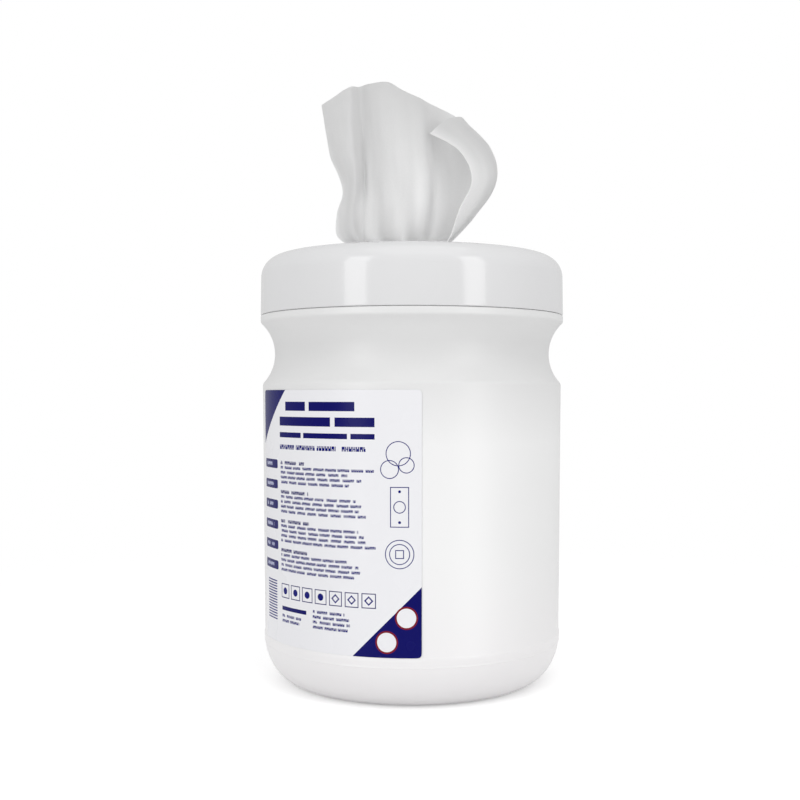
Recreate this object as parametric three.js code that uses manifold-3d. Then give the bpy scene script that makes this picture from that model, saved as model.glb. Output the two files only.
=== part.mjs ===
// Wipes dispenser tub: a round blow-moulded tub with a screw lid, a hinged flip cap,
// a centre-pull roll of wipes inside and one wipe drawn up through the lid's orifice.
// Millimetres, +Z up. The origin is the middle of the base, on the table.
// The front is -Y. The flip cap is folded back, because a wipe stands in the orifice.

import * as THREE from 'three';
import { mergeVertices } from 'three/addons/utils/BufferGeometryUtils.js';
import Module from 'manifold-3d';

const wasm = await Module();
wasm.setup();

// Overall size
const tubRadius = 65; // the bead and the lid over it
const rollHeight = 130; // a wipe is this wide

// Tub body
const tubWall = 1.4;
const standingRingWidth = 5;
const pushUpHeight = 3; // the base is pushed up inside the standing ring
const pushUpSlope = 4.5;
const baseCurveHeight = 20.9;
const baseCurveWidth = 15.15;
const wallSetback = 0.95; // the wall's top lies inside the bead
const wallTaper = 1; // the wall's foot lies inside its top
const panelRelief = 0.3; // the label panel lies back from the curve below it
const panelStep = 0.8;
const pinchRibLength = 52; // left under the base where the mould closed
const pinchRibWidth = 1.2;
const pinchRibHeight = 0.7;
const pinchRibSink = 0.3;

// Grip waist under the lid
const shoulderRound = 2.4;
const waistDepth = 5.1;
const waistDrop = 16.3; // from the bead's top to the narrowest place
const waistCurve = 18;

// Bead and neck
const beadRound = 1.5;
const neckSetback = 4.5;
const neckWall = 1.8;
const neckLength = 21.2;
const rimRound = 0.7;

// Lid
const lidSeam = 0.4; // dark line between the bead and the skirt
const neckGap = 2.2; // neck to skirt, room for the screw thread
const lidDraft = 0.2;
const lidEdgeRound = 9.2;
const lidTopWall = 2;
const lidHeadroom = 2.4; // neck rim to the underside of the top panel
const sealGap = 0.4;
const sealWall = 1.2;
const sealDepth = 4;

// Dispensing well and orifice
const wellRadius = 17.5;
const wellDepth = 6;
const wellWall = 1.3;
const wellEdgeRound = 0.6;
const petalThickness = 1.1;
const orificeRadius = 7.8;
const petalCount = 8;
const petalSlitWidth = 1.1;
const petalSlitReach = 14.5;

// Flip cap and its snap-in hinge
const capOverlap = 2.2; // the plate covers the lid this far round the well
const capThickness = 1.6;
const capEdgeRound = 0.6;
const capSeatGap = 0.3;
const plugGap = 0.35;
const plugWall = 1.2;
const plugDepth = 3;
const lipWidth = 9;
const lipReach = 1.8;
const barrelRadius = 1.5;
const barrelLength = 14;
const hingeSetback = 2.1; // plate edge to hinge axis
const stopHeel = 2.1; // axis to the corner that meets the lid when the cap is open
const pinRadius = 1;
const pinGap = 0.25;
const earThickness = 2.6;
const earWall = 1.3;
const earGap = 0.3;
const capOpenAngle = 170;

// Label
const labelFootMargin = 0.3; // over the panel's step
const labelHeadMargin = 1.3; // under the shoulder
const labelLeftAngle = 71.8; // degrees from the front towards -X
const labelRightAngle = -3.4;
const labelThickness = 0.2;
const labelGap = 0.3;

// Roll of wipes
const rollSlack = 4.2; // the roll goes in through the neck
const rollCoreRadius = 17;
const rollGap = 0.3;
const rollHeadspace = 20.3; // roll to the bead's top
const turnPitch = 4.5; // spacing of the turns that show on the roll's end
const turnDepth = 1.4;
const turnGrooveWidth = 2;

// Drawn wipe
const wipeThickness = 0.9;
const orificeGap = 0.4; // wipe to the orifice's edge
const tailRadius = 4.5;
const tailLength = 108; // below the orifice, down the roll's core
const pleats = 9;

const facets = 48; // facets in a full turn, a multiple of four

const floorTop = pushUpHeight + tubWall; // inside of the base
const rollFoot = floorTop + rollGap;
const beadTop = rollFoot + rollHeight + rollHeadspace;
const neckTop = beadTop + neckLength;
const skirtFoot = beadTop + lidSeam;
const lidTop = neckTop + lidHeadroom + lidTopWall;
const wellFloor = lidTop - wellDepth;
const waistHeight = beadTop - waistDrop;

const neckRadius = tubRadius - neckSetback;
const wallTopRadius = tubRadius - wallSetback;
const wallFootRadius = wallTopRadius - wallTaper;
const waistRadius = wallTopRadius - waistDepth;
const standingRingRadius = wallFootRadius + panelRelief - baseCurveWidth;
const rollRadius = neckRadius - neckWall - rollSlack;

const hdpe = { color: 0xe9ebec, roughness: 0.42, metalness: 0 };
const polypropylene = { color: 0xe4e6e8, roughness: 0.25, metalness: 0 };
const nonwoven = { color: 0xdfe1e2, roughness: 0.9, metalness: 0 };
const labelFilm = { color: 0xf2f3f6, roughness: 0.3, metalness: 0 };

const degrees = THREE.MathUtils.degToRad;

function isCollapsed(a, b, c) {
  return a === b || b === c || c === a;
}

// A closed three.js geometry as a solid that can be joined and cut.
function solidOf(geometry) {
  const bare = geometry.clone();
  bare.deleteAttribute('normal');
  bare.deleteAttribute('uv');
  const merged = mergeVertices(bare, 1e-4);
  const position = merged.getAttribute('position');
  const index = merged.getIndex().array;
  const triangles = [];
  for (let i = 0; i < index.length; i += 3) {
    const [a, b, c] = [index[i], index[i + 1], index[i + 2]];
    if (!isCollapsed(a, b, c)) triangles.push(a, b, c);
  }
  return new wasm.Manifold(new wasm.Mesh({
    numProp: 3,
    vertProperties: new Float32Array(position.array),
    triVerts: new Uint32Array(triangles),
  }));
}

function geometryOf(solid) {
  const mesh = solid.getMesh();
  const geometry = new THREE.BufferGeometry();
  geometry.setAttribute('position', new THREE.BufferAttribute(mesh.vertProperties, 3));
  geometry.setIndex(new THREE.BufferAttribute(mesh.triVerts, 1));
  geometry.computeVertexNormals();
  return geometry;
}

function meshOf(name, solid, finish) {
  const mesh = new THREE.Mesh(geometryOf(solid), new THREE.MeshStandardMaterial(finish));
  mesh.name = name;
  return mesh;
}

// A closed outline of (radius, height) points, clockwise seen with the axis on the left,
// turned about +Z.
function revolve(points, segments = facets) {
  const closed = [...points, points[0].clone()];
  const geometry = new THREE.LatheGeometry(closed, segments);
  geometry.rotateX(Math.PI / 2);
  return solidOf(geometry);
}

// Path gives a round curve two points for each step.
function arc(radius, height, curve, fromAngle, toAngle, steps) {
  const path = new THREE.Path();
  path.absarc(radius, height, curve, fromAngle, toAngle, toAngle < fromAngle);
  return path.getPoints(steps);
}

function ellipse(radius, height, acrossCurve, upCurve, fromAngle, toAngle, steps) {
  const path = new THREE.Path();
  path.absellipse(radius, height, acrossCurve, upCurve, fromAngle, toAngle, toAngle < fromAngle);
  return path.getPoints(steps);
}

// A skin through rings with equal numbers of points, shut at both ends and facing out.
function loft(rings) {
  const size = rings[0].length;
  const points = rings.flat();
  const triangles = [];
  for (let row = 0; row < rings.length - 1; row += 1) {
    for (let i = 0; i < size; i += 1) {
      const next = (i + 1) % size;
      const a = row * size + i;
      const b = row * size + next;
      triangles.push(a, b, b + size, a, b + size, a + size);
    }
  }
  const capEnd = (first, flip) => {
    const ring = points.slice(first, first + size);
    const middle = ring.reduce((sum, point) => sum.add(point), new THREE.Vector3());
    points.push(middle.divideScalar(size));
    const hub = points.length - 1;
    for (let i = 0; i < size; i += 1) {
      const a = first + i;
      const b = first + ((i + 1) % size);
      triangles.push(...(flip ? [hub, b, a] : [hub, a, b]));
    }
  };
  capEnd(0, true);
  capEnd((rings.length - 1) * size, false);
  const geometry = new THREE.BufferGeometry().setFromPoints(points);
  geometry.setIndex(triangles);
  const solid = solidOf(geometry);
  if (solid.volume() > 0) return solid;
  geometry.setIndex(triangles.reverse());
  return solidOf(geometry);
}

function box(width, depth, height, x, y, z) {
  return solidOf(new THREE.BoxGeometry(width, depth, height).translate(x, y, z));
}

function onCircle(radius, angle, height) {
  return new THREE.Vector3(radius * Math.cos(angle), radius * Math.sin(angle), height);
}

// The rounded corner between an upright face and the waist's hollow: where its centre lies
// above or below the waist, and the angle at which it meets the hollow.
function waistCorner(faceRadius, round) {
  const across = waistRadius + waistCurve - (faceRadius - round);
  const along = Math.sqrt((waistCurve + round) ** 2 - across ** 2);
  return { along, angle: Math.atan2(along, across) };
}

function tubOutline() {
  const shoulder = waistCorner(wallTopRadius, shoulderRound);
  const beadFoot = waistCorner(tubRadius, beadRound);
  const waistAxis = waistRadius + waistCurve;
  const ringInner = standingRingRadius - standingRingWidth;
  const innerCurve = waistCurve + tubWall;
  const neckInner = neckRadius - neckWall;
  const beadInner = tubRadius - tubWall;
  const beadInnerRise = Math.sqrt(innerCurve ** 2 - (waistAxis - beadInner) ** 2);
  const beadInnerAngle = Math.atan2(beadInnerRise, waistAxis - beadInner);

  const outside = [
    new THREE.Vector2(0, pushUpHeight),
    new THREE.Vector2(ringInner - pushUpSlope, pushUpHeight),
    new THREE.Vector2(ringInner, 0),
    ...ellipse(standingRingRadius, baseCurveHeight, baseCurveWidth, baseCurveHeight,
      -Math.PI / 2, 0, 5),
    new THREE.Vector2(wallFootRadius, baseCurveHeight + panelStep),
    ...arc(wallTopRadius - shoulderRound, waistHeight - shoulder.along, shoulderRound,
      0, shoulder.angle, 1),
    ...arc(waistAxis, waistHeight, waistCurve,
      Math.PI + shoulder.angle, Math.PI - beadFoot.angle, 5).slice(1, -1),
    ...arc(tubRadius - beadRound, waistHeight + beadFoot.along, beadRound,
      -beadFoot.angle, 0, 1),
    new THREE.Vector2(tubRadius, beadTop),
    new THREE.Vector2(neckRadius, beadTop),
    new THREE.Vector2(neckRadius, neckTop - rimRound),
    new THREE.Vector2(neckRadius - rimRound, neckTop),
  ];
  const inside = [
    new THREE.Vector2(neckInner, neckTop),
    new THREE.Vector2(neckInner, beadTop - tubWall),
    new THREE.Vector2(beadInner, beadTop - tubWall),
    ...arc(waistAxis, waistHeight, innerCurve,
      Math.PI - beadInnerAngle, Math.PI + shoulder.angle, 2),
    new THREE.Vector2(wallTopRadius - tubWall, waistHeight - shoulder.along),
    ...ellipse(standingRingRadius, baseCurveHeight, baseCurveWidth - panelRelief - tubWall,
      baseCurveHeight - tubWall, 0, -Math.PI / 2, 2),
    new THREE.Vector2(ringInner, tubWall),
    new THREE.Vector2(ringInner - pushUpSlope, floorTop),
    new THREE.Vector2(0, floorTop),
  ];
  return [...outside, ...inside];
}

function tub() {
  const rib = box(pinchRibLength, pinchRibWidth, pinchRibHeight + pinchRibSink,
    0, 0, pushUpHeight + (pinchRibSink - pinchRibHeight) / 2);
  return meshOf('tub', revolve(tubOutline()).add(rib), hdpe);
}

// The sticker follows the wall's taper, and its ends lie on the wall's own circle.
function label() {
  const panelFoot = baseCurveHeight + panelStep;
  const panelHead = waistHeight - waistCorner(wallTopRadius, shoulderRound).along;
  const taper = wallTaper / (panelHead - panelFoot);
  const wallAt = (height) => wallFootRadius + taper * (height - panelFoot);
  const footHeight = panelFoot + labelFootMargin;
  const headHeight = panelHead - labelHeadMargin;
  const steps = 16;
  const rings = [];
  for (let step = 0; step <= steps; step += 1) {
    const fromFront = THREE.MathUtils.lerp(labelRightAngle, labelLeftAngle, step / steps);
    const angle = degrees(-90 - fromFront);
    const corner = (height, lift) => onCircle(wallAt(height) + labelGap + lift, angle, height);
    rings.push([
      corner(footHeight, 0),
      corner(footHeight, labelThickness),
      corner(headHeight, labelThickness),
      corner(headHeight, 0),
    ]);
  }
  return meshOf('label', loft(rings), labelFilm);
}

// Only a wound roll's end shows its turns: one groove that runs in from the rim as a spiral.
function wipesRoll() {
  const head = rollFoot + rollHeight;
  const bulk = revolve([
    new THREE.Vector2(rollCoreRadius, rollFoot),
    new THREE.Vector2(rollRadius, rollFoot),
    new THREE.Vector2(rollRadius, head),
    new THREE.Vector2(rollCoreRadius, head),
  ]);
  const firstRadius = rollCoreRadius + turnPitch * 0.6;
  const turns = Math.floor((rollRadius - firstRadius) / turnPitch - 0.3);
  const stepsPerTurn = 32;
  const above = 0.5;
  const rings = [];
  for (let step = 0; step <= turns * stepsPerTurn; step += 1) {
    const turn = step / stepsPerTurn;
    const angle = turn * 2 * Math.PI;
    const radius = firstRadius + turn * turnPitch;
    rings.push([
      onCircle(radius - turnGrooveWidth / 2, angle, head + above),
      onCircle(radius, angle, head - turnDepth),
      onCircle(radius + turnGrooveWidth / 2, angle, head + above),
    ]);
  }
  return meshOf('wipes_roll', bulk.subtract(loft(rings)), nonwoven);
}

function lidOutline() {
  const skirtInner = neckRadius + neckGap;
  const skirtWall = tubRadius - skirtInner;
  const shoulderRadius = tubRadius - lidDraft;
  const roundAxis = shoulderRadius - lidEdgeRound;
  const roundHeight = lidTop - lidEdgeRound;
  const ceiling = lidTop - lidTopWall;
  const innerRound = Math.min(lidEdgeRound - lidTopWall, lidEdgeRound - skirtWall + lidDraft);
  const sealOuter = neckRadius - neckWall - sealGap;
  const sealInner = sealOuter - sealWall;
  const sealFoot = neckTop - sealDepth;
  const ceilingAt = (radius) => {
    const across = Math.max(0, radius - (skirtInner - innerRound));
    return ceiling - innerRound + Math.sqrt(innerRound ** 2 - across ** 2);
  };
  const sealAngle = Math.acos((sealOuter - (skirtInner - innerRound)) / innerRound);
  const footBevel = 0.5;
  return [
    new THREE.Vector2(orificeRadius, wellFloor - petalThickness),
    new THREE.Vector2(wellRadius + wellWall, wellFloor - petalThickness),
    new THREE.Vector2(wellRadius + wellWall, ceiling),
    new THREE.Vector2(Math.min(sealInner, skirtInner - innerRound), ceiling),
    new THREE.Vector2(sealInner, ceilingAt(sealInner)),
    new THREE.Vector2(sealInner, sealFoot),
    new THREE.Vector2(sealOuter, sealFoot),
    ...arc(skirtInner - innerRound, ceiling - innerRound, innerRound, sealAngle, 0, 2),
    new THREE.Vector2(skirtInner, skirtFoot),
    new THREE.Vector2(tubRadius - footBevel, skirtFoot),
    new THREE.Vector2(tubRadius, skirtFoot + footBevel),
    ...arc(roundAxis, roundHeight, lidEdgeRound, 0, Math.PI / 2, 4),
    ...arc(wellRadius + wellEdgeRound, lidTop - wellEdgeRound, wellEdgeRound,
      Math.PI / 2, Math.PI, 1),
    new THREE.Vector2(wellRadius, wellFloor),
    new THREE.Vector2(orificeRadius, wellFloor),
  ];
}

// The hinge axis, seen from the well's middle.
const plateRadius = wellRadius + capOverlap;
const hingeY = plateRadius + hingeSetback;
const hingeZ = lidTop + capSeatGap + barrelRadius;

function hingeEar(side) {
  const outer = pinRadius + pinGap + earWall;
  const sink = 0.5;
  const reach = hingeZ - lidTop + sink;
  const shape = new THREE.Shape();
  shape.moveTo(-outer, -reach);
  shape.lineTo(outer, -reach);
  shape.absarc(0, 0, outer, 0, Math.PI, false);
  shape.closePath();
  const hole = new THREE.Path();
  hole.absarc(0, 0, pinRadius + pinGap, 0, 2 * Math.PI, true);
  shape.holes.push(hole);
  const geometry = new THREE.ExtrudeGeometry(shape,
    { depth: earThickness, bevelEnabled: false, curveSegments: 8 });
  const first = side > 0
    ? barrelLength / 2 + earGap
    : -barrelLength / 2 - earGap - earThickness;
  geometry.applyMatrix4(new THREE.Matrix4().makeBasis(
    new THREE.Vector3(0, 1, 0), new THREE.Vector3(0, 0, 1), new THREE.Vector3(1, 0, 0)));
  return solidOf(geometry.translate(first, hingeY, hingeZ));
}

function lid() {
  let solid = revolve(lidOutline());
  solid = solid.add(hingeEar(1)).add(hingeEar(-1));
  for (let i = 0; i < petalCount; i += 1) {
    const slit = new THREE.BoxGeometry(petalSlitReach, petalSlitWidth, 4 * petalThickness);
    slit.translate(petalSlitReach / 2, 0, wellFloor - petalThickness / 2);
    slit.rotateZ((i + 0.5) * (2 * Math.PI / petalCount));
    solid = solid.subtract(solidOf(slit));
  }
  return meshOf('lid', solid, polypropylene);
}

// Side view of the hinge barrel, with the web to the plate and the heel that stops the cap
// against the lid when it is open. The axis is at the origin and the plate lies at -X.
function barrelShape() {
  const plateFoot = -barrelRadius;
  const plateHead = plateFoot + capThickness;
  const heelHeight = 1.75;
  const heelBack = Math.sqrt(stopHeel ** 2 - heelHeight ** 2);
  const web = hingeSetback + 1.5;
  const shape = new THREE.Shape();
  shape.moveTo(-web, plateFoot + 0.2);
  shape.lineTo(0, plateFoot);
  shape.absarc(0, 0, barrelRadius, -Math.PI / 2, Math.PI / 2, false);
  shape.lineTo(-heelBack, heelHeight);
  shape.lineTo(-web, plateHead - 0.2);
  shape.closePath();
  return shape;
}

// Modelled shut, with its hinge axis on the X axis.
function flipCapSolid() {
  const plateFoot = -barrelRadius;
  const plateHead = plateFoot + capThickness;
  const plugRadius = wellRadius - plugGap;
  const outline = [
    new THREE.Vector2(0, plateFoot),
    new THREE.Vector2(plugRadius - plugWall, plateFoot),
    new THREE.Vector2(plugRadius - plugWall, plateFoot - capSeatGap - plugDepth),
    new THREE.Vector2(plugRadius - plugWall / 2, plateFoot - capSeatGap - plugDepth),
    new THREE.Vector2(plugRadius, plateFoot - capSeatGap - plugDepth + plugWall / 2),
    new THREE.Vector2(plugRadius, plateFoot),
    new THREE.Vector2(plateRadius, plateFoot),
    ...arc(plateRadius - capEdgeRound, plateHead - capEdgeRound, capEdgeRound, 0, Math.PI / 2, 1),
    new THREE.Vector2(0, plateHead),
  ];
  const plate = revolve(outline, 40).translate([0, -hingeY, 0]);
  const lipLength = lipReach + capOverlap;
  const lip = box(lipWidth, lipLength, capThickness - capEdgeRound,
    0, -hingeY - plateRadius - lipReach + lipLength / 2, plateFoot + (capThickness - capEdgeRound) / 2);
  const barrel = new THREE.ExtrudeGeometry(barrelShape(),
    { depth: barrelLength, bevelEnabled: false, curveSegments: 8 });
  barrel.applyMatrix4(new THREE.Matrix4().makeBasis(
    new THREE.Vector3(0, 1, 0), new THREE.Vector3(0, 0, 1), new THREE.Vector3(1, 0, 0)));
  barrel.translate(-barrelLength / 2, 0, 0);
  const pinLength = barrelLength + 2 * (earGap + earThickness);
  const pins = new THREE.CylinderGeometry(pinRadius, pinRadius, pinLength, 16);
  pins.rotateZ(Math.PI / 2);
  return plate.add(lip).add(solidOf(barrel)).add(solidOf(pins));
}

function flipCap() {
  const hinge = new THREE.Group();
  hinge.position.set(0, hingeY, hingeZ);
  hinge.rotation.x = -degrees(capOpenAngle);
  hinge.add(meshOf('flip_cap', flipCapSolid(), polypropylene));
  return hinge;
}

// Lines up the drawn sheet from its left edge to its right one: [x, y, height over the lid]
// at five levels. The left flap leans out, the middle bulges to the front, and the right side
// runs back, round and forward again as an open curl that ends in a free edge.
const wipeLines = [
  [[-30.3, 3, 8.5], [-32.7, 3, 19], [-30, 2, 30], [-35.6, 2, 46], [-39.1, 1, 66.6]],
  [[-27, -2, 8], [-29.5, -3, 19], [-27.5, -4, 31], [-31.5, -3, 48], [-33.5, -2, 70.6]],
  [[-23, -5, 8], [-25, -6, 19], [-24, -7, 32], [-26, -6, 50], [-27, -4, 75.2]],
  [[-19.5, -1.5, 8], [-20.5, -2, 19], [-20.5, -2, 32], [-21, -2, 50], [-22.5, -2, 76.3]],
  [[-14, -6, 8], [-15, -7, 19], [-15.5, -7, 33], [-16, -6, 51], [-17.5, -4, 77]],
  [[-7, -8, 8], [-7, -9.5, 20], [-8, -9.5, 34], [-9.5, -8, 53], [-11.8, -4, 77.5]],
  [[-1, -7, 8], [0, -9, 20], [0, -9.5, 34], [-1.5, -7, 53], [-4, -2, 73.6]],
  [[4, -5, 8], [6.5, -7, 19], [7, -8, 33], [5.5, -5, 51], [4, 0, 69.3]],
  [[7.5, -1, 8], [10.5, -1, 18], [11.5, 0, 32], [10, 1, 50], [10, 3, 66.8]],
  [[11, 3, 8], [17, 4, 18], [20, 5, 32], [18, 6, 50], [17.5, 6, 64]],
  [[14.5, 5, 9], [24, 7, 18], [30, 7, 32], [27, 7, 50], [23, 4, 60]],
  [[16.4, 2, 10.3], [28.5, 2, 19], [36.7, 0, 34], [33.5, 0, 48.5], [21, -1, 61]],
  [[15.5, -2, 10], [26, -5, 19], [32.5, -7, 33], [27.5, -7, 46.5], [14.5, -5, 60]],
  [[13, -4, 9], [19, -7.5, 19.4], [25.5, -9.5, 32.5], [20.5, -9, 46], [7.2, -7.5, 55.3]],
];

// The gathered neck: level [height over the lid, radius, middle in x, middle in y]. It stands
// in the orifice, and its foot lies against the wall of the roll's core.
const tailReach = rollCoreRadius - rollGap - tailRadius;
const wipeNeck = [
  [-wellDepth - tailLength, tailRadius, tailReach, 0],
  [-wellDepth - 0.7 * tailLength, tailRadius, tailReach, 0],
  [-wellDepth - 0.35 * tailLength, tailRadius * 1.1, tailReach * 0.5, -2],
  [-wellDepth - petalThickness - 6, orificeRadius - orificeGap, 0.3, 0],
  [-wellDepth - petalThickness / 2, orificeRadius - orificeGap, 0, 0],
  [-wellDepth / 2, orificeRadius + 0.4, -0.5, 0],
];

// One crossing of the neck. Its outline is pleated, and its front half has as many points
// as the front of the spread sheet.
function neckRing([height, radius, middleX, middleY], across) {
  const pleatDepth = 0.16;
  const endAngle = degrees(5);
  const half = (side) => Array.from({ length: across + 1 }, (_, i) => {
    const share = i / across;
    const angle = Math.PI - THREE.MathUtils.lerp(endAngle, Math.PI - endAngle, share);
    const pleat = 1 - pleatDepth * (0.5 + 0.5 * Math.cos(share * pleats * 2 * Math.PI));
    return onCircle(radius * pleat, side * angle, lidTop + height)
      .add(new THREE.Vector3(middleX, middleY, 0));
  });
  return [...half(-1), ...half(1).reverse()];
}

function fanPoint(lines, across, up) {
  const crossing = lines.map((line) => line.getPoint(up));
  return new THREE.CatmullRomCurve3(crossing, false, 'centripetal').getPoint(across);
}

// The spread part of the wipe: the sheet's middle surface, thickened to both sides.
function fanRings(across) {
  const levelsUp = wipeLines[0].length;
  const up = 2 * levelsUp;
  const flareShare = 0.25;
  const flareHeight = 1.8;
  const flareFold = 1.1;
  const lines = wipeLines.map((levels, column) => {
    const spread = levels.map(([x, y, z]) => new THREE.Vector3(x, y, lidTop + z));
    const gatherX = orificeRadius * (2 * column / (wipeLines.length - 1) - 1);
    const start = new THREE.Vector3(
      THREE.MathUtils.lerp(gatherX, spread[0].x, flareShare),
      flareShare * spread[0].y + (column % 2 ? -flareFold : flareFold),
      lidTop + flareHeight,
    );
    return new THREE.CatmullRomCurve3([start, ...spread], false, 'centripetal');
  });
  const grid = [];
  for (let row = 0; row <= up; row += 1) {
    grid.push(Array.from({ length: across + 1 }, (_, i) => fanPoint(lines, i / across, row / up)));
  }
  const normalAt = (row, i) => {
    const before = grid[row][Math.max(i - 1, 0)];
    const alongSheet = grid[row][Math.min(i + 1, across)].clone().sub(before);
    const upSheet = grid[Math.min(row + 1, up)][i].clone().sub(grid[Math.max(row - 1, 0)][i]);
    return alongSheet.cross(upSheet).normalize();
  };
  return grid.map((line, row) => {
    const shifted = (by) => line.map((point, i) => point.clone().addScaledVector(normalAt(row, i), by));
    return [...shifted(wipeThickness / 2), ...shifted(-wipeThickness / 2).reverse()];
  });
}

function wipe() {
  const across = 2 * (wipeLines.length - 1);
  const neck = wipeNeck.map((level) => neckRing(level, across));
  return meshOf('wipe', loft([...neck, ...fanRings(across)]), nonwoven);
}

const model = new THREE.Group();
model.add(tub(), label(), wipesRoll(), lid(), flipCap(), wipe());

export default model;
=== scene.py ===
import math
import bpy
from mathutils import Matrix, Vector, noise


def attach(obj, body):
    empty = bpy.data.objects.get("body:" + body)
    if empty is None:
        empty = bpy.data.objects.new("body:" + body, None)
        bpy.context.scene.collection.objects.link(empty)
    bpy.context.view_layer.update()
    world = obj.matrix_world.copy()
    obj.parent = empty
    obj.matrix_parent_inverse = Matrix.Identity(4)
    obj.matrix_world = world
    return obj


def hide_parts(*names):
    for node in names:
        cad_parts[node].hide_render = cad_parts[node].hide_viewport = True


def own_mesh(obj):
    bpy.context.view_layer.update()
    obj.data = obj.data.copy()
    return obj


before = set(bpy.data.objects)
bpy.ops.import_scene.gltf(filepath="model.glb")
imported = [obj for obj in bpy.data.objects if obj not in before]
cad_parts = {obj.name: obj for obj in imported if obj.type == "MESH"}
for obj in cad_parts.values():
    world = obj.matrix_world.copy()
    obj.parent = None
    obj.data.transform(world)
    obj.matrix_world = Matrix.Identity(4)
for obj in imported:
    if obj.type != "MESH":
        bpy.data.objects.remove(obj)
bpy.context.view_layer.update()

# A round wipes tub with a screw lid, a hinged flip cap and one wipe drawn up through it.
# Sizes of pieces are millimetres. Those of materials, the stage, lamps and camera are metres.
# +Z is up and the front is -Y.

mm = 0.001
weldGap = 1e-6


# Wires: shader maths written as Python
class Wire:
    def __init__(self, finish, socket):
        self.finish = finish
        self.socket = socket

    def maths(self, operation, *values):
        return self.finish.node("ShaderNodeMath", {"operation": operation}, *values)

    def __add__(self, other):
        return self.maths("ADD", self, other)

    def __radd__(self, other):
        return self.maths("ADD", other, self)

    def __sub__(self, other):
        return self.maths("SUBTRACT", self, other)

    def __rsub__(self, other):
        return self.maths("SUBTRACT", other, self)

    def __mul__(self, other):
        return self.maths("MULTIPLY", self, other)

    def __truediv__(self, other):
        return self.maths("DIVIDE", self, other)

    def __gt__(self, other):
        return self.maths("GREATER_THAN", self, other)

    def __lt__(self, other):
        return self.maths("LESS_THAN", self, other)

    def __abs__(self):
        return self.maths("ABSOLUTE", self)

    def fraction(self):
        return self.maths("FRACT", self)

    def floor(self):
        return self.maths("FLOOR", self)

    def larger(self, other):
        return self.maths("MAXIMUM", self, other)

    def smaller(self, other):
        return self.maths("MINIMUM", self, other)

    def root(self):
        return self.maths("SQRT", self)

    # 0 at low, 1 at high and level beyond both
    def between(self, low, high):
        return ((self - low) / (high - low)).larger(0).smaller(1)


class Finish:
    def __init__(self, name):
        self.material = bpy.data.materials.new(name)
        self.material.use_nodes = True
        self.tree = self.material.node_tree
        self.tree.nodes.clear()
        self.output = self.tree.nodes.new("ShaderNodeOutputMaterial")

    def node(self, kind, settings=None, *values, out=0, **named):
        made = self.tree.nodes.new(kind)
        for key, value in (settings or {}).items():
            setattr(made, key, value)
        for index, value in enumerate(values):
            self.plug(made.inputs[index], value)
        for key, value in named.items():
            self.plug(made.inputs[key.replace("_", " ")], value)
        return Wire(self, made.outputs[out])

    def plug(self, socket, value):
        if isinstance(value, Wire):
            self.tree.links.new(value.socket, socket)
        elif value is not None:
            socket.default_value = value

    def axes(self, source):
        made = self.tree.nodes.new("ShaderNodeSeparateXYZ")
        self.tree.links.new(source.socket, made.inputs[0])
        return [Wire(self, made.outputs[i]) for i in range(3)]

    # inputs 6 and 7 and output 2 are the Mix node's colours
    def blend(self, factor, colourA, colourB):
        made = self.tree.nodes.new("ShaderNodeMix")
        made.data_type = "RGBA"
        self.plug(made.inputs[0], factor)
        self.plug(made.inputs[6], colourA)
        self.plug(made.inputs[7], colourB)
        return Wire(self, made.outputs[2])

    def objectPlace(self):
        return self.node("ShaderNodeTexCoord", out="Object")

    def grain(self, place, scale, detail=3.0, roughness=0.5):
        return self.node("ShaderNodeTexNoise", None, Vector=place, Scale=scale, Detail=detail,
                         Roughness=roughness, out="Fac")

    def bump(self, height, strength, distance):
        return self.node("ShaderNodeBump", None, Strength=strength, Distance=distance,
                         Height=height)

    def finishWith(self, shader):
        self.tree.links.new(shader.socket, self.output.inputs[0])
        return self.material


def shade(red, green, blue):
    def linear(value):
        value /= 255
        return value / 12.92 if value <= 0.04045 else ((value + 0.055) / 1.055) ** 2.4
    return (linear(red), linear(green), linear(blue), 1)


# Materials
def makeBlownPlastic():
    look = {"colour": shade(234, 234, 234), "shadow": shade(230, 230, 230),
            "headspaceShade": shade(214, 214, 214), "waist": shade(222, 222, 222),
            "foot": shade(232, 230, 231), "footHead": 0.06, "rollHead": 0.102,
            "headspace": 0.138, "waistFoot": 0.142, "waistHead": 0.152,
            "broadScale": 22, "fineScale": 900, "flowScale": 140, "fineShare": 0.35,
            "roughness": 0.34, "roughnessSpread": 0.1, "bump": 0.12, "bumpDepth": 0.0002}
    finish = Finish("blownPlastic")
    place = finish.objectPlace()
    broad = finish.grain(place, look["broadScale"])
    height = finish.axes(place)[2]
    white = finish.blend(broad, look["shadow"], look["colour"])
    footing = finish.blend((1 - height / look["footHead"]).larger(0), white, look["foot"])
    # painted shade: the wall is painted a little greyer over the roll, where nothing white
    # stands behind it
    overRoll = height.between(look["rollHead"], look["headspace"])
    headspace = finish.blend(overRoll, footing, look["headspaceShade"])
    # painted shade: the waist under the bead is painted greyer
    waistShade = height.between(look["waistFoot"], look["waistHead"])
    fine = finish.grain(place, look["fineScale"], 2)
    flow = finish.grain(place, look["flowScale"], 2)
    return finish.finishWith(finish.node(
        "ShaderNodeBsdfPrincipled", None,
        Base_Color=finish.blend(waistShade, headspace, look["waist"]),
        Roughness=look["roughness"] + broad * look["roughnessSpread"],
        Normal=finish.bump(fine * look["fineShare"] + flow, look["bump"], look["bumpDepth"])))


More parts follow.
